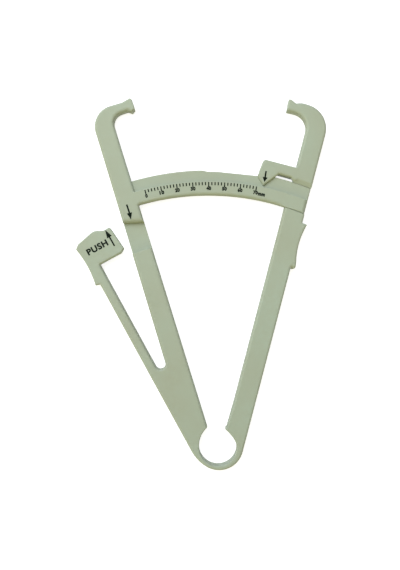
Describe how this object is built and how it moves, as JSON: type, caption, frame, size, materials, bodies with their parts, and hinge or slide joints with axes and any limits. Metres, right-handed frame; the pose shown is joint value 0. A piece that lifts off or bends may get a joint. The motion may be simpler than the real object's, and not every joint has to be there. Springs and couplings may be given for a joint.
{
  "type": "skinfold caliper",
  "caption": "Flat plastic skinfold caliper: hooked jaws on two sprung arms, a scale arc between them with a pointer, and a press lever beside one arm.",
  "frame": {"origin": "middle of the footprint, on the flat back that the caliper lies on", "axes": "+Y towards the jaws, +Z out of the scale face, +X to the right as the scale is read"},
  "size_m": [0.118, 0.1753, 0.0068],
  "materials": {
    "caliper_plastic": "satin pale grey-green moulding",
    "print_ink": "matt near-black print"
  },
  "bodies": {
    "left_side": {"left_jaw_pad": "caliper_plastic", "left_hook": "caliper_plastic", "left_arm_upper": "caliper_plastic", "left_arm_web": "caliper_plastic", "left_arm_lower": "caliper_plastic", "fork_root": "caliper_plastic", "scale_plate": "caliper_plastic", "pointer_track": "caliper_plastic", "hinge_ring": "caliper_plastic"},
    "right_side": {"right_jaw_pad": "caliper_plastic", "right_hook": "caliper_plastic", "right_arm_upper": "caliper_plastic", "right_arm_web": "caliper_plastic", "right_arm_lower": "caliper_plastic", "right_foot": "caliper_plastic", "pointer_bar": "caliper_plastic", "pointer": "caliper_plastic", "finger_rest": "caliper_plastic"},
    "press_lever": {"lever_root": "caliper_plastic", "lever_beam": "caliper_plastic", "press_paddle": "caliper_plastic", "finger_grip": "caliper_plastic"}
  },
  "joints": [
    {"name": "arm_swing", "type": "hinge", "parent": "left_side", "child": "right_side", "pos_m": [0.00431, -0.07564, 0.0034], "axis": [0, 0, 1], "range_deg": [0, 25.4], "stiffness_Nm_per_rad": 0.35, "deforming": ["hinge_ring"]},
    {"name": "lever_press", "type": "hinge", "parent": "left_side", "child": "press_lever", "pos_m": [-0.02622, -0.03621, 0.0034], "axis": [0, 0, -1], "range_deg": [0, 11.5], "stiffness_Nm_per_rad": 0.3, "deforming": ["lever_root"]}
  ]
}
